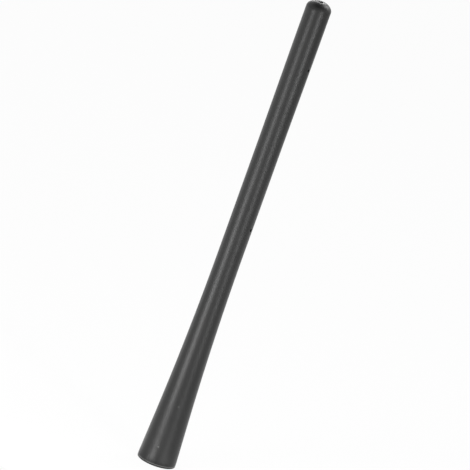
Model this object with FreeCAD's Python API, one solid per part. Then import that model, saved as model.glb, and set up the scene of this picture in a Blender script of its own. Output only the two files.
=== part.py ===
import FreeCAD, Part
import math
import os

# A short screw-on antenna mast for digital radio on a vehicle roof. It stands here
# on its rubber seal face, with +Z up along the mast and the origin at the centre of
# that face. All sizes are in millimetres.
#
# A glass-fibre rod is crimped into a threaded metal ferrule. A copper wire is wound
# along the rod, open below and closer above, and its foot is soldered into a slot
# in the ferrule. A shrink sleeve covers the winding and a moulded plug caps the rod.
# Rubber is then moulded round all of it. Steel pins hold the core in the middle of
# the mould, so the rubber keeps a hole at each pin and one at the tip.

# Outside of the rubber
MAST_LENGTH = 200.0
RIM_RADIUS = 7.9
RIM_LAND = 2.2  # straight band above the seal face
RIM_CHAMFER = 0.4
FLARE_TOP = 92.0  # height where the flare has run out into the stem
FLARE_CORNER = 54.0  # height where the foot's slope would meet the stem, with no curve
STEM_RADIUS = 5.0
TIP_RADIUS = 5.15
SWELL_START_BELOW_TIP = 60.0  # the stem swells very slightly towards the tip
SWELL_END_BELOW_TIP = 20.0
DOME_HEIGHT = 3.15

# Mould pins
PIN_HOLE_RADIUS = 0.6
UPPER_PIN_BELOW_TIP = 27.5
PIN_SPACING = 69.2
TIP_HOLE_RADIUS = 0.9
TIP_DIMPLE_RADIUS = 1.3
TIP_DIMPLE_DEPTH = 0.25
TIP_COVER = 4.2  # rubber above the plug

# Threaded ferrule
FACE_RECESS = 0.5  # metal face above the rubber seal face
RECESS_FLARE = 0.6  # how much wider the recess is at its mouth
HEAD_RADIUS = 5.0
HEAD_THICKNESS = 2.0
HEAD_CHAMFER = 0.3
HEX_ACROSS_FLATS = 8.4
HEX_LENGTH = 7.0
HEX_CORNER_CHAMFER = 0.4
GROOVE_WALL = 1.3
GROOVE_LENGTH = 2.0
COLLAR_STEP = 0.9
COLLAR_LENGTH = 1.6
TAP_DRILL_RADIUS = 2.1  # for an M5 stud
TAPPED_DEPTH = 10.4
ENTRY_CHAMFER = 0.5
DRILL_POINT_ANGLE = 118.0
FERRULE_WEB = 2.5  # metal between the drill point and the rod
SOCKET_DEPTH = 10.0
CRIMP_WALL = 0.9
SLOT_DEPTH = 5.0
SLOT_CLEARANCE = 0.15

# Rod and plug
ROD_RADIUS = 2.5
ROD_FIT = 0.03
ROD_END_CHAMFER = 0.25
PLUG_LENGTH = 8.0
PLUG_ROOF = 2.2
PLUG_CHAMFER = 0.7

# Winding
WIRE_RADIUS = 0.3
WINDING_FIT = 0.05
OPEN_PITCH = 15.0
OPEN_TURNS = 5
CLOSE_PITCH = 10.0
LEAD_BEND_RADIUS = 0.8
LEAD_LENGTH = 4.2  # straight wire lying in the ferrule's slot
LEAD_ABOVE_FERRULE = 1.0  # from the ferrule to the bend
TAIL_LENGTH = 2.0  # straight wire held in the plug
TAIL_BELOW_PLUG = 0.5
WIRE_FLATS = 5  # five flats stand for the round wire
POINTS_PER_TURN = 12

# Shrink sleeve
SHRINK_WALL = 0.4
SHRINK_FIT = 0.03
SHRINK_OVER_FERRULE = 8.0
SHRINK_SHOULDER = 3.2  # height over which it narrows from the ferrule to the winding
SHRINK_OVER_PLUG = 5.0

UP = FreeCAD.Vector(0, 0, 1)
ORIGIN = FreeCAD.Vector(0, 0, 0)

# Heights that follow from the sizes above
head_top = FACE_RECESS + HEAD_THICKNESS
hex_top = head_top + HEX_LENGTH
groove_top = hex_top + GROOVE_LENGTH
collar_top = groove_top + COLLAR_LENGTH
tapped_top = FACE_RECESS + TAPPED_DEPTH
drill_tip = tapped_top + TAP_DRILL_RADIUS / math.tan(math.radians(DRILL_POINT_ANGLE / 2))
socket_floor = drill_tip + FERRULE_WEB
ferrule_top = socket_floor + SOCKET_DEPTH
slot_floor = ferrule_top - SLOT_DEPTH
plug_top = MAST_LENGTH - TIP_COVER
plug_foot = plug_top - PLUG_LENGTH
rod_top = plug_top - PLUG_ROOF
shoulder = MAST_LENGTH - DOME_HEIGHT
upper_pin = MAST_LENGTH - UPPER_PIN_BELOW_TIP

# Radii that follow from them
groove_radius = TAP_DRILL_RADIUS + GROOVE_WALL
socket_radius = ROD_RADIUS + ROD_FIT
crimp_radius = socket_radius + CRIMP_WALL
collar_radius = max(groove_radius, crimp_radius) + COLLAR_STEP
winding_radius = ROD_RADIUS + WINDING_FIT + WIRE_RADIUS
slot_half_width = WIRE_RADIUS + SLOT_CLEARANCE


def rise_angle(pitch):
    """The angle at which the wire climbs round the rod."""
    return math.atan2(pitch, 2 * math.pi * winding_radius)


def bend_offset(pitch):
    """How far a straight end lies to the side of the point where the winding ends."""
    return LEAD_BEND_RADIUS * (1 - math.sin(rise_angle(pitch)))


def bend_height(pitch):
    """How far the bend before a straight end reaches along the mast."""
    return LEAD_BEND_RADIUS * math.cos(rise_angle(pitch))


bundle_radius = math.hypot(winding_radius, bend_offset(CLOSE_PITCH)) + WIRE_RADIUS
winding_foot = ferrule_top + LEAD_ABOVE_FERRULE + bend_height(OPEN_PITCH)
winding_top = plug_foot - TAIL_BELOW_PLUG - bend_height(CLOSE_PITCH)
open_height = OPEN_PITCH * OPEN_TURNS
change_height = (OPEN_PITCH + CLOSE_PITCH) / 2  # one turn, from the open pitch to the close one
close_turns = (winding_top - winding_foot - open_height - change_height) / CLOSE_PITCH
all_turns = OPEN_TURNS + 1 + close_turns


def at(radius, height):
    """A point in the half section from which the round pieces are turned."""
    return FreeCAD.Vector(radius, 0, height)


def line(start, end):
    return Part.LineSegment(start, end).toShape()


def spun(corners):
    """A turned piece: straight lines through pairs of radius and height, spun about the axis."""
    points = [at(radius, height) for radius, height in corners]
    return Part.Face(Part.makePolygon(points + points[:1])).revolve(ORIGIN, UP, 360)


def round_bar(radius, foot, top):
    """A plain round bar on the mast's axis."""
    return Part.makeCylinder(radius, top - foot, at(0, foot), UP)


def flare_curve():
    """The arc that runs the foot's slope out into the stem, tangent to both."""
    lean = math.atan2(RIM_RADIUS - STEM_RADIUS, FLARE_CORNER - RIM_LAND)
    arc_radius = (FLARE_TOP - FLARE_CORNER) / math.tan(lean / 2)

    def on_arc(angle):
        reach = 1 - math.cos(angle)
        return at(STEM_RADIUS + arc_radius * reach, FLARE_TOP - arc_radius * math.sin(angle))

    return on_arc(lean), on_arc(lean / 2), on_arc(0)


def sheath_outside():
    """The rubber's outer form: rim, flared foot, stem and domed tip."""
    foot, middle, top = flare_curve()
    dome = Part.Ellipse(at(TIP_RADIUS, shoulder), at(0, MAST_LENGTH), at(0, shoulder))
    outline = [
        line(at(0, 0), at(RIM_RADIUS - RIM_CHAMFER, 0)),
        line(at(RIM_RADIUS - RIM_CHAMFER, 0), at(RIM_RADIUS, RIM_CHAMFER)),
        line(at(RIM_RADIUS, RIM_CHAMFER), at(RIM_RADIUS, RIM_LAND)),
        line(at(RIM_RADIUS, RIM_LAND), foot),
        Part.Arc(foot, middle, top).toShape(),
        line(top, at(STEM_RADIUS, MAST_LENGTH - SWELL_START_BELOW_TIP)),
        line(
            at(STEM_RADIUS, MAST_LENGTH - SWELL_START_BELOW_TIP),
            at(TIP_RADIUS, MAST_LENGTH - SWELL_END_BELOW_TIP),
        ),
        line(at(TIP_RADIUS, MAST_LENGTH - SWELL_END_BELOW_TIP), at(TIP_RADIUS, shoulder)),
        Part.Arc(dome, 0, math.pi / 2).toShape(),
        line(at(0, MAST_LENGTH), at(0, 0)),
    ]
    return Part.Face(Part.Wire(outline)).revolve(ORIGIN, UP, 360)


def hexagon():
    """The ferrule's hexagon, with its corners turned off, which keys it in the rubber."""
    corner = HEX_ACROSS_FLATS / 2 / math.cos(math.pi / 6)
    corners = []
    for i in range(6):
        angle = math.pi / 3 * i
        corners.append(FreeCAD.Vector(corner * math.cos(angle), corner * math.sin(angle), head_top))
    bar = Part.Face(Part.makePolygon(corners + corners[:1])).extrude(UP * HEX_LENGTH)
    turned = spun(
        [
            (0, head_top),
            (corner, head_top),
            (corner, hex_top - HEX_CORNER_CHAMFER),
            (corner - HEX_CORNER_CHAMFER, hex_top),
            (0, hex_top),
        ]
    )
    return bar.common(turned)


def ferrule_outside():
    """The ferrule with no holes in it: head, hexagon, rubber groove, collar and crimp sleeve."""
    turned = spun(
        [
            (0, FACE_RECESS),
            (HEAD_RADIUS - HEAD_CHAMFER, FACE_RECESS),
            (HEAD_RADIUS, FACE_RECESS + HEAD_CHAMFER),
            (HEAD_RADIUS, head_top),
            (groove_radius, head_top),
            (groove_radius, groove_top),
            (collar_radius, groove_top),
            (collar_radius, collar_top),
            (crimp_radius, collar_top),
            (crimp_radius, ferrule_top),
            (0, ferrule_top),
        ]
    )
    return turned.fuse(hexagon()).removeSplitter()


def tapped_hole():
    """The drilled hole for the roof stud's thread, with its entry chamfer and drill point."""
    return spun(
        [
            (0, FACE_RECESS),
            (TAP_DRILL_RADIUS + ENTRY_CHAMFER, FACE_RECESS),
            (TAP_DRILL_RADIUS, FACE_RECESS + ENTRY_CHAMFER),
            (TAP_DRILL_RADIUS, tapped_top),
            (0, drill_tip),
        ]
    )


def lead_channel(inner_reach):
    """A square channel beside the rod for the wire's lead, open outwards and upwards."""
    foot = FreeCAD.Vector(inner_reach, -bend_offset(OPEN_PITCH) - slot_half_width, slot_floor)
    return Part.makeBox(crimp_radius, slot_half_width * 2, SLOT_DEPTH, foot)


def threaded_ferrule():
    socket = round_bar(socket_radius, socket_floor, ferrule_top)
    return ferrule_outside().cut(tapped_hole()).cut(socket).cut(lead_channel(0))


def core_rod():
    inner = ROD_RADIUS - ROD_END_CHAMFER
    return spun(
        [
            (0, socket_floor),
            (inner, socket_floor),
            (ROD_RADIUS, socket_floor + ROD_END_CHAMFER),
            (ROD_RADIUS, rod_top - ROD_END_CHAMFER),
            (inner, rod_top),
            (0, rod_top),
        ]
    )


def winding_height(turn):
    """The wire's height after so many turns: open pitch, one turn of change, close pitch."""
    opened = min(turn, OPEN_TURNS)
    changed = min(max(turn - OPEN_TURNS, 0), 1)
    closed = max(turn - OPEN_TURNS - 1, 0)
    change_rise = OPEN_PITCH * changed + (CLOSE_PITCH - OPEN_PITCH) * changed**2 / 2
    return winding_foot + OPEN_PITCH * opened + change_rise + CLOSE_PITCH * closed


def winding_pitch(turn):
    changed = min(max(turn - OPEN_TURNS, 0), 1)
    return OPEN_PITCH + (CLOSE_PITCH - OPEN_PITCH) * changed


def on_winding(turn):
    """The wire's centre after so many turns, its direction there, and the way out from the rod."""
    angle = 2 * math.pi * turn
    outward = FreeCAD.Vector(math.cos(angle), math.sin(angle), 0)
    around = FreeCAD.Vector(-math.sin(angle), math.cos(angle), 0)
    rise = rise_angle(winding_pitch(turn))
    centre = outward * winding_radius + UP * winding_height(turn)
    forward = around * math.cos(rise) + UP * math.sin(rise)
    return centre, forward, outward


def wire_corners(turn):
    """The corners of the wire's cut across itself, with one flat towards the rod."""
    centre, forward, outward = on_winding(turn)
    sideways = forward.cross(outward)
    corners = []
    for i in range(WIRE_FLATS):
        angle = math.pi + 2 * math.pi * (i + 0.5) / WIRE_FLATS
        corners.append(centre + (outward * math.cos(angle) + sideways * math.sin(angle)) * WIRE_RADIUS)
    return corners


def wire_outline(turn):
    corners = wire_corners(turn)
    return Part.makePolygon(corners + corners[:1])


def winding_sides():
    """The sides of the wound wire: for each turn, a smooth curve along each corner and a flat between two."""
    spans = math.ceil(all_turns)
    span = all_turns / spans
    steps = range(POINTS_PER_TURN + 1)
    sides = []
    for i in range(spans):
        cuts = [wire_corners(span * (i + k / POINTS_PER_TURN)) for k in steps]
        curves = []
        for n in range(WIRE_FLATS):
            curve = Part.BSplineCurve()
            curve.interpolate(Points=[cut[n] for cut in cuts], Parameters=[float(k) for k in steps])
            curves.append(curve.toShape())
        for n in range(WIRE_FLATS):
            sides.append(Part.makeRuledSurface(curves[n - 1], curves[n], 1))
    return sides


def straight_end(turn, sense, length):
    """The wire bent away from the winding, then straight along the mast: its sides and its cut end."""
    centre, forward, outward = on_winding(turn)
    pivot = centre + outward.cross(forward) * (sense * LEAD_BEND_RADIUS)
    angle = 90 - math.degrees(rise_angle(winding_pitch(turn)))
    outline = wire_outline(turn)
    bend = outline.revolve(pivot, outward, angle)
    outline.rotate(pivot, outward, angle)
    straight = outline.extrude(UP * (sense * length))
    outline.translate(UP * (sense * length))
    return bend.Faces + straight.Faces + [Part.Face(outline)]


def antenna_coil():
    lead = straight_end(0, -1, LEAD_LENGTH + LEAD_ABOVE_FERRULE)
    tail = straight_end(all_turns, 1, TAIL_LENGTH + TAIL_BELOW_PLUG)
    skin = Part.makeShell(winding_sides() + lead + tail)
    skin.sewShape()
    return Part.makeSolid(skin)


def solder_joint(coil):
    """Solder in the ferrule's slot, over the outer half of the wire's lead."""
    return lead_channel(winding_radius).common(round_bar(crimp_radius, slot_floor, ferrule_top)).cut(coil)


def plug_form():
    """The tip plug with no holes in it."""
    return spun(
        [
            (0, plug_foot),
            (bundle_radius, plug_foot),
            (bundle_radius, plug_top - PLUG_CHAMFER),
            (bundle_radius - PLUG_CHAMFER, plug_top),
            (0, plug_top),
        ]
    )


def tip_plug():
    """The cap on the rod, with a notch in its skirt for the wire's tail."""
    foot = FreeCAD.Vector(0, bend_offset(CLOSE_PITCH) - slot_half_width, plug_foot)
    notch = Part.makeBox(bundle_radius, slot_half_width * 2, TAIL_LENGTH + SLOT_CLEARANCE, foot)
    notch.rotate(ORIGIN, UP, 360 * all_turns)
    return plug_form().cut(round_bar(socket_radius, plug_foot, rod_top)).cut(notch)


def shrink_profile(skin):
    """The shrink sleeve's radius at each height where it changes, on its inside or outside."""
    over_ferrule = crimp_radius + SHRINK_FIT + skin
    over_winding = bundle_radius + SHRINK_FIT + skin
    return [
        (over_ferrule, ferrule_top - SHRINK_OVER_FERRULE),
        (over_ferrule, ferrule_top),
        (over_winding, ferrule_top + SHRINK_SHOULDER),
        (over_winding, plug_foot + SHRINK_OVER_PLUG),
    ]


def shrink_sleeve():
    return spun(shrink_profile(0) + shrink_profile(SHRINK_WALL)[::-1])


def wrapped_core():
    """All that the rubber is moulded round, in one form."""
    profile = shrink_profile(SHRINK_WALL)
    wrapping = spun([(0, profile[0][1])] + profile + [(0, profile[-1][1])])
    return ferrule_outside().fuse([wrapping, plug_form()])


def base_recess():
    """The mouth in the seal face, open to the ferrule's head."""
    return spun([(0, 0), (HEAD_RADIUS + RECESS_FLARE, 0), (HEAD_RADIUS, FACE_RECESS), (0, FACE_RECESS)])


def tip_hole():
    """The hole that the tip's mould pin leaves, with the dimple round its mouth."""
    mouth = at(0, MAST_LENGTH - TIP_DIMPLE_DEPTH)
    dimple = Part.makeCone(TIP_HOLE_RADIUS, TIP_DIMPLE_RADIUS, TIP_DIMPLE_DEPTH, mouth, UP)
    return round_bar(TIP_HOLE_RADIUS, plug_top, MAST_LENGTH).fuse(dimple)


def rubber_sheath():
    """The moulded rubber, hollow where the wrapped core and the mould's pins were."""
    body = sheath_outside().cut([wrapped_core(), base_recess(), tip_hole()])
    across = FreeCAD.Vector(1, 0, 0)
    for height in (upper_pin - PIN_SPACING, upper_pin):
        start = FreeCAD.Vector(-RIM_RADIUS, 0, height)
        body = body.cut(Part.makeCylinder(PIN_HOLE_RADIUS, RIM_RADIUS * 2, start, across))
    return body


def main():
    coil = antenna_coil()
    nodes = {
        "rubber_sheath": rubber_sheath(),
        "threaded_ferrule": threaded_ferrule(),
        "core_rod": core_rod(),
        "antenna_coil": coil,
        "solder_joint": solder_joint(coil),
        "shrink_sleeve": shrink_sleeve(),
        "tip_plug": tip_plug(),
    }
    os.makedirs("parts", exist_ok=True)
    for name, shape in nodes.items():
        shape.exportStep("parts/" + name + ".step")
        print(name, "solids", len(shape.Solids), "valid", shape.isValid(), "volume", round(shape.Volume, 2))


main()
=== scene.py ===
import math

import bmesh
import bpy
from mathutils import Matrix, Vector


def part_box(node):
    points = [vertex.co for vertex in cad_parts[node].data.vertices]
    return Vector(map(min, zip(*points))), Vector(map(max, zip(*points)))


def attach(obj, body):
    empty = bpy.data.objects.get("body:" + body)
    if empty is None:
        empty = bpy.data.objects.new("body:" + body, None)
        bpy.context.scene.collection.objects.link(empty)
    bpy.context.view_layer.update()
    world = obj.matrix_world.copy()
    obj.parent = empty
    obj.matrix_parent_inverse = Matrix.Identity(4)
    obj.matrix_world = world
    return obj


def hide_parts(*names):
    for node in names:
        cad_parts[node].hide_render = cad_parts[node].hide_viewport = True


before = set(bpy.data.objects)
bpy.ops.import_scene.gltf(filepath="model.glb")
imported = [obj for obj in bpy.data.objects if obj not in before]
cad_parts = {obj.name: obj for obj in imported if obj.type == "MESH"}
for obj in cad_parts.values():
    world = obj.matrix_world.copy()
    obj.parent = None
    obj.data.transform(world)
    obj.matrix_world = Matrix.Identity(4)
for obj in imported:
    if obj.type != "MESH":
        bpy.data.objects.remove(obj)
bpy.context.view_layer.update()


# The camera stands in front of the mast and a little above it, far off and with a
# long lens. It is rolled, so that the upright mast leans to the right in the frame.
view_azimuth = math.radians(26)
view_elevation = math.radians(15.5)
view_distance = 4.0
view_roll = math.radians(19.77)
view_height = 0.09876
view_sidestep = 0.00087
lens_mm = 775.2

up = Vector((0, 0, 1))
towards_viewer = Vector((math.sin(view_azimuth), -math.cos(view_azimuth), 0))
to_the_right = Vector((math.cos(view_azimuth), math.sin(view_azimuth), 0))
backward = towards_viewer * math.cos(view_elevation) + up * math.sin(view_elevation)
level_up = backward.cross(to_the_right)
rolled_right = to_the_right * math.cos(view_roll) + level_up * math.sin(view_roll)
rolled_up = backward.cross(rolled_right)
stance = Matrix((rolled_right, rolled_up, backward)).transposed().to_4x4()
aim = up * view_height - to_the_right * view_sidestep
camera = bpy.data.objects.new("camera", bpy.data.cameras.new("camera"))
camera.data.lens = lens_mm
camera.matrix_world = Matrix.Translation(aim + backward * view_distance) @ stance
bpy.context.collection.objects.link(camera)
bpy.context.scene.camera = camera
bpy.context.scene.view_settings.view_transform = "Standard"


# The ferrule is turned from brass bar and nickel-plated. Its hexagon and groove key it
# into the rubber. It is bored and threaded from below for the roof stud, and bored from
# above for the rod, with a slot sawn in one side for the wire.
ferrule_low, ferrule_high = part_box("threaded_ferrule")
shrink_low, shrink_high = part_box("shrink_sleeve")
head_radius = ferrule_high.x
head_length = 0.002
head_chamfer = 0.0003
chamfer_softness = 0.3
head_top = ferrule_low.z + head_length
face_radius = 0.0038
hex_half = 0.0042
hex_corner = 1.12
hex_length = 0.007
hex_top = head_top + hex_length
groove_radius = 0.0034
groove_length = 0.002
groove_top = hex_top + groove_length
collar_radius = 0.00433
collar_length = 0.0016
collar_top = groove_top + collar_length
sleeve_wall = 0.0004
sleeve_gap = 0.00003
crimp_wall = 0.0009
crimp_radius = shrink_high.x - sleeve_gap - sleeve_wall
socket_radius = crimp_radius - crimp_wall
socket_depth = 0.01
socket_floor = ferrule_high.z - socket_depth
drill_radius = 0.0021
drill_half_angle = math.radians(59)
tapped_depth = 0.0104
tapped_top = ferrule_low.z + tapped_depth
drill_tip = tapped_top + drill_radius / math.tan(drill_half_angle)
thread_radius = 0.0025
thread_pitch = 0.0008
thread_half_gap = 0.4375
thread_flank = 0.3125
thread_chamfer = 0.0001
thread_plain_end = 0.0012
thread_runout = 0.0008
thread_rows = 208
slot_depth = 0.005
slot_width = 0.0009
slot_side = -0.00028
saw_middle = 0.003
saw_reach = 0.0032
ferrule_segments = 96
nickel_dull = (0.68, 0.65, 0.59, 1)
nickel_bright = (0.8, 0.78, 0.73, 1)
turning_scale = 42000
turning_depth = 0.000004
cloud_scale = 900


def turned_mesh(name, rows, segments, ring=False):
    """A turned form from rows of radius and height. A ring closes on itself, and a bar ends at the axis."""
    form = bmesh.new()
    circles = []
    for radius, height in rows:
        if not callable(radius) and radius == 0:
            circles.append([form.verts.new((0, 0, height))] * segments)
            continue
        circle = []
        for i in range(segments):
            angle = 2 * math.pi * i / segments
            reach = radius(angle) if callable(radius) else radius
            circle.append(form.verts.new((reach * math.cos(angle), reach * math.sin(angle), height)))
        circles.append(circle)
    pairs = list(zip(circles, circles[1:]))
    if ring:
        pairs.append((circles[-1], circles[0]))
    for lower, upper in pairs:
        for i in range(segments):
            j = (i + 1) % segments
            form.faces.new(dict.fromkeys((lower[i], lower[j], upper[j], upper[i])))
    bmesh.ops.recalc_face_normals(form, faces=form.faces)
    mesh = bpy.data.meshes.new(name)
    form.to_mesh(mesh)
    form.free()
    return mesh


def placed(name, mesh):
    """A new piece with this mesh, in the scene."""
    piece = bpy.data.objects.new(name, mesh)
    bpy.context.collection.objects.link(piece)
    return piece


def cut_away(piece, cutter):
    """Cuts one closed form out of another and throws the cutter away."""
    cut = piece.modifiers.new("cut", "BOOLEAN")
    cut.operation = "DIFFERENCE"
    cut.solver = "EXACT"
    cut.object = cutter
    shown = piece.evaluated_get(bpy.context.evaluated_depsgraph_get())
    piece.data = bpy.data.meshes.new_from_object(shown)
    piece.modifiers.clear()
    bpy.data.objects.remove(cutter)


def smoothed(piece, sharpest):
    """Shades a piece smooth, but for edges sharper than so many degrees."""
    piece.data.shade_smooth()
    piece.data.set_sharp_from_angle(angle=math.radians(sharpest))


def hex_radius(angle):
    """The hexagon's radius at an angle, with its corners turned off a little."""
    from_flat = abs((angle + math.pi / 6) % (math.pi / 3) - math.pi / 6)
    return min(hex_half / math.cos(from_flat), hex_half * hex_corner)


def threaded(height):
    """The bore's radius at a height: a right-hand thread, open at the mouth, that runs out above."""
    mouth = thread_radius + thread_chamfer - (height - ferrule_low.z)
    full = min(max((tapped_top - thread_plain_end - height) / thread_runout, 0), 1)

    def reach(angle):
        phase = (height / thread_pitch - angle / (2 * math.pi)) % 1
        flank = min(max((thread_half_gap - abs(phase - 0.5)) / thread_flank, 0), 1)
        return max(drill_radius + (thread_radius - drill_radius) * flank * full, mouth)
    return reach


bore = []
for i in range(thread_rows + 1):
    height = tapped_top - (tapped_top - ferrule_low.z) * i / thread_rows
    bore.append((threaded(height), height))
ferrule_rows = [(0, drill_tip)] + bore + [
    (face_radius, ferrule_low.z),
    (head_radius - head_chamfer, ferrule_low.z),
    (head_radius - head_chamfer * chamfer_softness, ferrule_low.z + head_chamfer * chamfer_softness),
    (head_radius, ferrule_low.z + head_chamfer),
    (head_radius, head_top),
    (hex_radius, head_top),
    (hex_radius, hex_top),
    (groove_radius, hex_top),
    (groove_radius, groove_top),
    (collar_radius, groove_top),
    (collar_radius, collar_top),
    (crimp_radius, collar_top),
    (crimp_radius, ferrule_high.z),
    (socket_radius, ferrule_high.z),
    (socket_radius, socket_floor),
    (0, socket_floor),
]
ferrule = placed("turned_ferrule", turned_mesh("turned_ferrule", ferrule_rows, ferrule_segments))
slot_form = bmesh.new()
slot_place = Matrix.Translation((saw_middle, slot_side, ferrule_high.z))
slot_size = Matrix.Diagonal((saw_reach, slot_width, slot_depth * 2, 1))
bmesh.ops.create_cube(slot_form, size=1, matrix=slot_place @ slot_size)
saw = placed("slotting_saw", bpy.data.meshes.new("slotting_saw"))
slot_form.to_mesh(saw.data)
slot_form.free()
cut_away(ferrule, saw)
smoothed(ferrule, sharpest=30)


class Value:
    """A node's socket. Arithmetic on it adds Math nodes, and node() adds any other node."""

    def __init__(self, socket):
        self.socket = socket

    def node(self, kind, settings=None, inputs=None, output=0):
        tree = self.socket.id_data
        made = tree.nodes.new(kind)
        for name, value in (settings or {}).items():
            setattr(made, name, value)
        for name, value in (inputs or {}).items():
            if isinstance(value, Value):
                tree.links.new(value.socket, made.inputs[name])
            else:
                made.inputs[name].default_value = value
        return Value(made.outputs[output])

    def math(self, operation, *values):
        return self.node("ShaderNodeMath", {"operation": operation}, dict(enumerate(values)))

    def __add__(self, other):
        return self.math("ADD", self, other)

    def __sub__(self, other):
        return self.math("SUBTRACT", self, other)

    def __rsub__(self, other):
        return self.math("SUBTRACT", other, self)

    def __mul__(self, other):
        return self.math("MULTIPLY", self, other)

    __radd__ = __add__
    __rmul__ = __mul__

    def feed(self, socket):
        self.socket.id_data.links.new(self.socket, socket)


def finish(name, **constants):
    """A new finish: its material, its shader with these constants, and the object's own coordinates."""
    material = bpy.data.materials.new(name)
    material.use_nodes = True
    shader = material.node_tree.nodes["Principled BSDF"]
    for socket, value in constants.items():
        shader.inputs[socket.replace("_", " ")].default_value = value
    return material, shader, Value(shader.outputs[0]).node("ShaderNodeTexCoord", output="Object")


def noise(place, scale, detail=2.0, stretch=(1, 1, 1)):
    """Smooth random values from 0 to 1, with so many lumps to the metre."""
    stretched = place.node("ShaderNodeMapping", inputs={"Vector": place, "Scale": stretch})
    return place.node("ShaderNodeTexNoise", inputs={"Vector": stretched, "Scale": scale, "Detail": detail})


def blend(share, first, second):
    """A colour between two, by a share that varies over the surface."""
    return share.node("ShaderNodeMix", {"data_type": "RGBA"}, {0: share, 6: first, 7: second}, 2)


def roughened(shader, relief, depth, strength):
    """A fine relief on the surface, so many metres deep."""
    bump = relief.node("ShaderNodeBump", inputs={"Height": relief, "Distance": depth, "Strength": strength})
    bump.feed(shader.inputs["Normal"])


nickel, nickel_shader, place = finish("nickel_plate", Metallic=1.0)
flat = place.node("ShaderNodeVectorMath", {"operation": "MULTIPLY"}, {0: place, 1: (1, 1, 0)})
from_axis = flat.node("ShaderNodeVectorMath", {"operation": "LENGTH"}, {0: flat}, "Value")
ripple = from_axis * turning_scale
turning_marks = ripple.math("SINE", ripple)
cloud = noise(place, cloud_scale, detail=3.0)
blend(cloud, nickel_dull, nickel_bright).feed(nickel_shader.inputs["Base Color"])
(0.2 + cloud * 0.16).feed(nickel_shader.inputs["Roughness"])
roughened(nickel_shader, turning_marks, turning_depth, strength=0.3)
ferrule.data.materials.append(nickel)
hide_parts("threaded_ferrule")
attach(ferrule, "root")


# The core rod is glass fibre pulled through resin, ground round and pale straw in
# colour. It is pressed into the ferrule's upper bore and glued.
straw_dark = (0.62, 0.55, 0.36, 1)
straw_pale = (0.82, 0.78, 0.62, 1)
fibre_scale = 3000
fibre_stretch = (1, 1, 0.02)
fibre_depth = 0.00002
straw, straw_shader, place = finish("glass_fibre", Specular_IOR_Level=0.5)
fibres = noise(place, fibre_scale, detail=3.0, stretch=fibre_stretch)
blend(fibres, straw_dark, straw_pale).feed(straw_shader.inputs["Base Color"])
(0.35 + fibres * 0.2).feed(straw_shader.inputs["Roughness"])
roughened(straw_shader, fibres, fibre_depth, strength=0.3)
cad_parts["core_rod"].data.materials[0] = straw


# The winding is enamelled copper wire, wound open below and closer above. Its foot lies
# in the ferrule's slot and its tail in the tip plug's notch.
coil_low, coil_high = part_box("antenna_coil")
wire_radius = 0.0003
winding_radius = 0.00285
open_pitch = 0.015
close_pitch = 0.01
open_turns = 5
bend_radius = 0.0008
bend_steps = 8
lead_length = 0.0052
tail_length = 0.0025
steps_per_turn = 60
wire_sides = 14
copper_dark = (0.62, 0.22, 0.09, 1)
copper_bright = (0.76, 0.32, 0.15, 1)
tarnish_scale = 400


def rise(turn):
    """The angle at which the wire climbs after so many turns."""
    changed = min(max(turn - open_turns, 0), 1)
    pitch = open_pitch + (close_pitch - open_pitch) * changed
    return math.atan2(pitch, 2 * math.pi * winding_radius)


def climbed(turn):
    """The height climbed after so many turns."""
    changed = min(max(turn - open_turns, 0), 1)
    change = open_pitch * changed + (close_pitch - open_pitch) * changed**2 / 2
    return open_pitch * min(turn, open_turns) + change + close_pitch * max(turn - open_turns - 1, 0)


winding_foot = coil_low.z + lead_length + bend_radius * math.cos(rise(0))
winding_top = coil_high.z - tail_length - bend_radius * math.cos(rise(open_turns + 1))
all_turns = open_turns + 1 + (winding_top - winding_foot - climbed(open_turns + 1)) / close_pitch


def on_winding(turn):
    """The wire's centre, its direction, and the way out from the rod."""
    angle = 2 * math.pi * turn
    outward = Vector((math.cos(angle), math.sin(angle), 0))
    forward = up.cross(outward) * math.cos(rise(turn)) + up * math.sin(rise(turn))
    return outward * winding_radius + up * (winding_foot + climbed(turn)), forward, outward


def straight_end(turn, sense, length):
    """The wire's bend away from the winding and its straight end, outermost last."""
    centre, forward, outward = on_winding(turn)
    pivot = centre + outward.cross(forward) * (sense * bend_radius)
    stations = []
    for i in range(1, bend_steps + 1):
        swing = Matrix.Rotation(sense * (math.pi / 2 - rise(turn)) * i / bend_steps, 3, outward)
        stations.append((pivot + swing @ (centre - pivot), swing @ forward, outward))
    last, direction, outward = stations[-1]
    stations.append((last + up * (sense * length), direction, outward))
    return stations


wire_steps = math.ceil(all_turns * steps_per_turn)
route = straight_end(0, -1, lead_length)[::-1]
route += [on_winding(all_turns * i / wire_steps) for i in range(wire_steps + 1)]
route += straight_end(all_turns, 1, tail_length)
wire_form = bmesh.new()
rings = []
for centre, forward, outward in route:
    side = forward.cross(outward)
    ring = []
    for i in range(wire_sides):
        angle = 2 * math.pi * i / wire_sides
        spoke = outward * math.cos(angle) + side * math.sin(angle)
        ring.append(wire_form.verts.new(centre + spoke * wire_radius))
    rings.append(ring)
for first, second in zip(rings, rings[1:]):
    for i in range(wire_sides):
        j = (i + 1) % wire_sides
        wire_form.faces.new((first[i], first[j], second[j], second[i]))
wire_form.faces.new(rings[0])
wire_form.faces.new(rings[-1])
bmesh.ops.recalc_face_normals(wire_form, faces=wire_form.faces)
wire = placed("wound_wire", bpy.data.meshes.new("wound_wire"))
wire_form.to_mesh(wire.data)
wire_form.free()
smoothed(wire, sharpest=40)

copper, copper_shader, place = finish(
    "enamelled_copper", Metallic=1.0, Coat_Weight=0.7, Coat_Roughness=0.12
)
tarnish = noise(place, tarnish_scale, detail=3.0)
blend(tarnish, copper_dark, copper_bright).feed(copper_shader.inputs["Base Color"])
(0.2 + tarnish * 0.15).feed(copper_shader.inputs["Roughness"])
wire.data.materials.append(copper)
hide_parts("antenna_coil")
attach(wire, "root")


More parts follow.
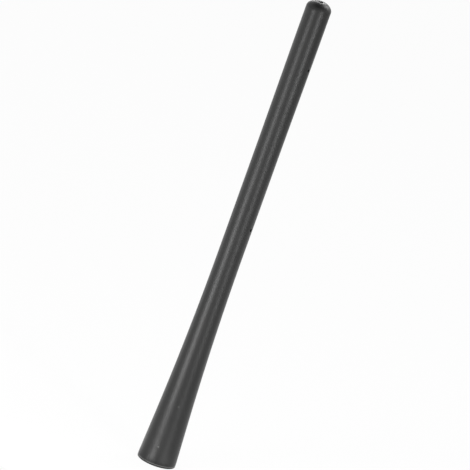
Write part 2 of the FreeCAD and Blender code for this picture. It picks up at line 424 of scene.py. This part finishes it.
# The solder joint is tin solder, run hot into the ferrule's slot over the wire's foot. It
# fills the slot and freezes with a slightly frosted skin.
tin_dull = (0.62, 0.62, 0.63, 1)
tin_bright = (0.74, 0.74, 0.75, 1)
frosting_scale = 1800
frosting_depth = 0.00005
tin, tin_shader, place = finish("tin_solder", Metallic=1.0)
frosting = noise(place, frosting_scale)
blend(frosting, tin_dull, tin_bright).feed(tin_shader.inputs["Base Color"])
(0.25 + frosting * 0.25).feed(tin_shader.inputs["Roughness"])
roughened(tin_shader, frosting, frosting_depth, strength=0.4)
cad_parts["solder_joint"].data.materials[0] = tin


# The shrink sleeve is black tubing, shrunk with hot air over the winding and over the
# ferrule's upper end, so that the rubber can't push the turns together.
film_dark = (0.008, 0.008, 0.009, 1)
film_pale = (0.016, 0.016, 0.017, 1)
crease_scale = 700
crease_stretch = (1, 1, 0.2)
crease_depth = 0.00005
film, film_shader, place = finish("shrink_tubing", Specular_IOR_Level=0.5)
creases = noise(place, crease_scale, detail=3.0, stretch=crease_stretch)
blend(creases, film_dark, film_pale).feed(film_shader.inputs["Base Color"])
(0.3 + creases * 0.2).feed(film_shader.inputs["Roughness"])
roughened(film_shader, creases, crease_depth, strength=0.3)
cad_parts["shrink_sleeve"].data.materials[0] = film


# The tip plug is a cap moulded from black nylon and pressed on the rod's end. It holds
# the wire's tail, and the mould's tip pin bears on it.
nylon_dark = (0.012, 0.012, 0.013, 1)
nylon_pale = (0.022, 0.022, 0.023, 1)
matt_scale = 2600
matt_depth = 0.00002
nylon, nylon_shader, place = finish("black_nylon", Specular_IOR_Level=0.5)
matt = noise(place, matt_scale, detail=3.0)
blend(matt, nylon_dark, nylon_pale).feed(nylon_shader.inputs["Base Color"])
(0.42 + matt * 0.18).feed(nylon_shader.inputs["Roughness"])
roughened(nylon_shader, matt, matt_depth, strength=0.4)
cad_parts["tip_plug"].data.materials[0] = nylon


# The rubber sheath is one moulding round the whole core, with a flared foot, a flat sealing
# rim and a dome that is flattened round its hole. The pins that held the core in the mould
# left that hole and four small ones, and the mould's halves met in a fine seam through them.
sheath_low, sheath_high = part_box("rubber_sheath")
plug_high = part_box("tip_plug")[1]
rim_radius = min(sheath_high.x, sheath_high.y, -sheath_low.x, -sheath_low.y)
rim_edge = 0.0003
rim_steps = 8
rim_band = 0.0012
rim_land = 0.0022
face_rows = (0.0056, 0.0062, 0.0069)
stem_radius = 0.005
tip_radius = 0.00515
flare_corner = 0.054
flare_top = 0.092
mast_length = 0.2
swell_start = mast_length - 0.06
swell_end = mast_length - 0.02
shoulder = mast_length - 0.00315
dome_height = 0.00338
dome_steps = 28
tip_flat_radius = 0.0023
tip_flat_lip = 0.0001
tip_hole_radius = 0.0009
tip_hole_lip = 0.00008
tip_dimple_radius = 0.0013
tip_dimple_lip = 0.00003
tip_dimple_depth = 0.00025
tip_dimple_rise = 0.00002
pin_heights = (0.1033, 0.1725)
pin_hole_radius = 0.0006
pin_mouth_radius = 0.00078
pin_mouth_depth = 0.00012
pin_reach = 0.008
pin_sides = 32
seam_height = 0.000015
# A painted highlight runs round the rim's rounded edge, at this height and width.
painted_highlight_height = 0.0008
painted_highlight_width = 0.0003
specks = (
    {"height": 0.008, "turn": -8.2, "size": 0.00045, "strength": 1.0},
    {"height": 0.0261, "turn": 10.4, "size": 0.0006, "strength": 0.35},
)
row_spacing = 0.0018
rows_at_pin = 9
sheath_segments = 192
cover_radius = coil_high.x + sleeve_gap + sleeve_wall
cover_step = 0.0032
cover_foot = ferrule_high.z + cover_step
plug_chamfer = 0.0007
rubber_dark = (0.003, 0.003, 0.003, 1)
rubber_pale = (0.015, 0.0152, 0.0149, 1)
painted_highlight_colour = (0.16, 0.16, 0.157, 1)
speck_colour = (0.12, 0.12, 0.118, 1)
grain_scale = 2600
grain_depth = 0.00006
flow_scale = 130
flow_stretch = (1, 1, 0.3)


def stem_reach(height):
    """The sheath's radius at a height: a slope, an arc into the stem, and a slight swell to the tip."""
    lean = math.atan2(rim_radius - stem_radius, flare_corner - rim_land)
    arc_radius = (flare_top - flare_corner) / math.tan(lean / 2)
    if height < flare_top - arc_radius * math.sin(lean):
        return rim_radius - (height - rim_land) * math.tan(lean)
    if height < flare_top:
        return stem_radius + arc_radius - math.sqrt(arc_radius**2 - (flare_top - height) ** 2)
    swell = min(max((height - swell_start) / (swell_end - swell_start), 0), 1)
    return stem_radius + (tip_radius - stem_radius) * swell


def with_seam(radius):
    """The same radius, with the mould's seam standing up on it at both sides."""
    return lambda angle: radius + (seam_height if abs(math.sin(angle)) < 1e-6 else 0)


outside = [(radius, 0) for radius in face_rows + (rim_radius - rim_edge,)]
for i in range(1, rim_steps + 1):
    turn = math.pi / 2 * i / rim_steps
    outside.append((rim_radius - rim_edge * (1 - math.sin(turn)), rim_edge * (1 - math.cos(turn))))
outside.append((rim_radius, rim_band))
heights = [rim_land + row_spacing * i for i in range(int((shoulder - rim_land) / row_spacing))]
for pin in pin_heights:
    heights = [height for height in heights if abs(height - pin) > row_spacing]
    heights += [pin + row_spacing / rows_at_pin * i for i in range(1 - rows_at_pin, rows_at_pin)]
outside += [(with_seam(stem_reach(height) - seam_height), height) for height in sorted(heights)]
for i in range(dome_steps + 1):
    turn = math.pi / 2 * i / dome_steps
    if tip_radius * math.cos(turn) > tip_flat_radius:
        outside.append((with_seam(tip_radius * math.cos(turn)), shoulder + dome_height * math.sin(turn)))
flat_top = shoulder + dome_height * math.sqrt(1 - (tip_flat_radius / tip_radius) ** 2)
dimple_floor = mast_length - tip_dimple_depth
tip_hole = [
    (tip_flat_radius, flat_top),
    (tip_flat_radius - tip_flat_lip, flat_top),
    (tip_dimple_radius + tip_flat_lip, flat_top),
    (tip_dimple_radius, flat_top),
    (tip_dimple_radius - tip_flat_lip, flat_top - tip_dimple_lip),
    (tip_hole_radius + tip_hole_lip, dimple_floor + tip_dimple_rise),
    (tip_hole_radius, dimple_floor - tip_hole_lip),
    (tip_hole_radius, plug_high.z),
]
hollow = [
    (plug_high.x - plug_chamfer, plug_high.z),
    (plug_high.x, plug_high.z - plug_chamfer),
    (plug_high.x, shrink_high.z),
    (cover_radius, shrink_high.z),
    (cover_radius, cover_foot),
    (shrink_high.x, ferrule_high.z),
    (shrink_high.x, shrink_low.z),
    (crimp_radius, shrink_low.z),
    (crimp_radius, collar_top),
    (collar_radius, collar_top),
    (collar_radius, groove_top),
    (groove_radius, groove_top),
    (groove_radius, hex_top),
    (hex_radius, hex_top),
    (hex_radius, head_top),
    (head_radius, head_top),
    (head_radius, ferrule_low.z),
]
sheath_rows = outside + tip_hole + hollow
sheath = placed("moulded_sheath", turned_mesh("moulded_sheath", sheath_rows, sheath_segments, ring=True))
for pin in pin_heights:
    surface = stem_reach(pin)
    pin_end = [
        (0, pin_reach),
        (pin_mouth_radius, pin_reach),
        (pin_mouth_radius, surface),
        (pin_hole_radius, surface - pin_mouth_depth),
    ]
    pin_rows = pin_end + [(radius, -reach) for radius, reach in reversed(pin_end)]
    core_pin = placed("core_pin", turned_mesh("core_pin", pin_rows, pin_sides))
    lying = Matrix.Rotation(math.pi / 2, 4, "Y") @ Matrix.Rotation(math.pi / pin_sides, 4, "Z")
    core_pin.data.transform(Matrix.Translation((0, 0, pin)) @ lying)
    cut_away(sheath, core_pin)
smoothed(sheath, sharpest=28)

rubber, rubber_shader, place = finish(
    "satin_rubber", Specular_IOR_Level=0.36, Sheen_Weight=0.1, Sheen_Roughness=0.3
)
grain = noise(place, grain_scale, detail=3.0)
flow = noise(place, flow_scale, detail=3.0, stretch=flow_stretch)
shade = blend(grain * 0.6 + flow * 0.4, rubber_dark, rubber_pale)
# The pale band round the rim's edge is a painted highlight: a lighter base colour 0.8 mm up, made patchy by
# the flow and grain.
over_highlight_line = place.node("ShaderNodeSeparateXYZ", inputs={"Vector": place}, output="Z") - painted_highlight_height
off_highlight_line = over_highlight_line.math("ABSOLUTE", over_highlight_line)
highlight_band = off_highlight_line.math("MAXIMUM", 1 - off_highlight_line * (1 / painted_highlight_width), 0.0)
painted_highlight = highlight_band * (flow * 1.6 + grain * 0.6 - 0.4)
shade = blend(painted_highlight, shade, painted_highlight_colour)
for speck in specks:
    turn = math.radians(speck["turn"])
    outward = towards_viewer * math.cos(turn) + to_the_right * math.sin(turn)
    middle = outward * stem_reach(speck["height"]) + up * speck["height"]
    away = place.node("ShaderNodeVectorMath", {"operation": "DISTANCE"}, {0: place, 1: middle}, "Value")
    dust = away.math("MAXIMUM", 1 - away * (1 / speck["size"]), 0.0) * speck["strength"]
    shade = blend(dust, shade, speck_colour)
shade.feed(rubber_shader.inputs["Base Color"])
(0.34 + flow * 0.06 + grain * 0.08).feed(rubber_shader.inputs["Roughness"])
roughened(rubber_shader, grain, grain_depth, strength=0.5)
sheath.data.materials.append(rubber)
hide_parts("rubber_sheath")
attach(sheath, "root")


# The studio is a wide pale floor, which a gloss sees as white up to an edge on the right,
# and a white surround with a dark ceiling. Strip lights stand beside the camera and behind,
# narrow cards lie on the floor at the foot, and a cloth and a small hair light hang above.
floor_reach = 8.0
floor_colour = (0.88, 0.88, 0.88, 1)
floor_glow = 0.94
paper_edge = 0.35
paper_end = 0.7
surround_light = 0.5
ceiling_foot = math.sin(math.radians(48))
ceiling_full = math.sin(math.radians(62))
ceiling_shade = 0.05
# Each lamp's turn from the camera in degrees, how far off and how high its foot is, how far
# off and how high its head is, its width, and its watts.
strips = {
    "strip_left": (-35, 0.095, 0.001, 0.2, 0.18, 0.035, 0.24),
    "strip_right": (37, 0.2, 0.001, 0.42, 0.5, 0.05, 0.48),
    "tip_strip": (37, 0.2, 0.09, 0.2, 0.2, 0.03, 0.063),
    "edge_left": (-120, 0.12, 0.001, 0.16, 0.2, 0.05, 0.02),
    "edge_right": (120, 0.12, 0.001, 0.15, 0.1, 0.05, 0.008),
    "shoulder_left": (-85, 0.3, 0.1, 0.3, 0.18, 0.1, 0.024),
    "flat_sheen": (-170, 0.3, 0.25, 0.3, 0.32, 0.1, 0.16),
    "card_left": (-26, 0.012, 0.001, 0.1, 0.0015, 0.007, 0.0105),
    "card_right": (32, 0.011, 0.001, 0.16, 0.0015, 0.012, 0.008),
    "card_edge": (-125, 0.011, 0.001, 0.11, 0.0015, 0.02, 0.0031),
}
overhead_height = 1.5
overhead_size = 3.0
overhead_watts = 2.0
hair_light_place = towards_viewer * -0.36 + to_the_right * 0.27 + up * 0.6
hair_light_size = 0.25
hair_light_watts = 1.2


def seen_as_white(start):
    """1 for what the camera, a gloss or a glass sees of the surround, and 0 for its light."""
    camera_ray = start.node("ShaderNodeLightPath", output="Is Camera Ray")
    glossy_ray = start.node("ShaderNodeLightPath", output="Is Glossy Ray")
    glass_ray = start.node("ShaderNodeLightPath", output="Is Transmission Ray")
    return start.math("MINIMUM", camera_ray + glossy_ray + glass_ray, 1.0)


def fading(value, start, end, shade=0.0):
    """1 where a value is below the start, this shade where it is past the end, and smooth between."""
    limits = {"From Min": start, "From Max": end, "To Min": 1.0, "To Max": shade}
    return value.node("ShaderNodeMapRange", {"interpolation_type": "SMOOTHSTEP"}, {"Value": value, **limits})


surround = bpy.data.worlds.new("surround")
surround.use_nodes = True
surround_shader = surround.node_tree.nodes["Background"]
surround_shader.inputs["Color"].default_value = (1, 1, 1, 1)
sky = Value(surround_shader.outputs[0])
direction = sky.node("ShaderNodeTexCoord", output="Generated")
aloft = sky.node("ShaderNodeSeparateXYZ", inputs={"Vector": direction}, output="Z")
backdrop = fading(aloft, ceiling_foot, ceiling_full, ceiling_shade)
seen = seen_as_white(sky)
(seen * backdrop + (1 - seen) * surround_light).feed(surround_shader.inputs["Strength"])
bpy.context.scene.world = surround

floor = placed("studio_floor", bpy.data.meshes.new("studio_floor"))
floor_corners = [(x * floor_reach, y * floor_reach, 0) for x, y in ((-1, -1), (1, -1), (1, 1), (-1, 1))]
floor.data.from_pydata(floor_corners, [], [(0, 1, 2, 3)])
paint, paint_shader, place = finish(
    "floor_paint", Base_Color=floor_colour, Roughness=0.9, Specular_IOR_Level=0.1
)
painted = Value(paint_shader.outputs[0])
glow = painted.node("ShaderNodeEmission", inputs={"Color": (1, 1, 1, 1), "Strength": 1.0})
rightward = {0: place, 1: to_the_right}
beside = place.node("ShaderNodeVectorMath", {"operation": "DOT_PRODUCT"}, rightward, "Value")
paper = fading(beside, paper_edge, paper_end)
in_view = place.node("ShaderNodeLightPath", output="Is Camera Ray")
white = in_view.math("MAXIMUM", in_view, seen_as_white(painted) * paper)
lit_floor = painted.node("ShaderNodeMixShader", inputs={0: white * floor_glow, 1: painted, 2: glow})
lit_floor.feed(paint.node_tree.nodes["Material Output"].inputs["Surface"])
floor.data.materials.append(paint)


def studio_lamp(name, stand, target, width, height, watts):
    """A soft light that the camera doesn't see, facing its target."""
    lamp = bpy.data.objects.new(name, bpy.data.lights.new(name, "AREA"))
    lamp.data.shape = "RECTANGLE"
    lamp.data.size = width
    lamp.data.size_y = height
    lamp.data.energy = watts
    lamp.location = stand
    lamp.rotation_euler = (target - stand).to_track_quat("-Z", "Y").to_euler()
    lamp.visible_camera = False
    bpy.context.collection.objects.link(lamp)


for name, (degrees, foot_off, foot_high, head_off, head_high, width, watts) in strips.items():
    turn = math.radians(degrees)
    sideways = towards_viewer * math.cos(turn) + to_the_right * math.sin(turn)
    foot = sideways * foot_off + up * foot_high
    head = sideways * head_off + up * head_high
    middle = (foot + head) / 2
    facing = (head - foot).cross(up.cross(sideways))
    studio_lamp(name, middle, middle + facing, width, (head - foot).length, watts)
studio_lamp("overhead", up * overhead_height, Vector(), overhead_size, overhead_size, overhead_watts)
hair_light_target = up * mast_length
studio_lamp(
    "hair_light", hair_light_place, hair_light_target, hair_light_size, hair_light_size, hair_light_watts
)
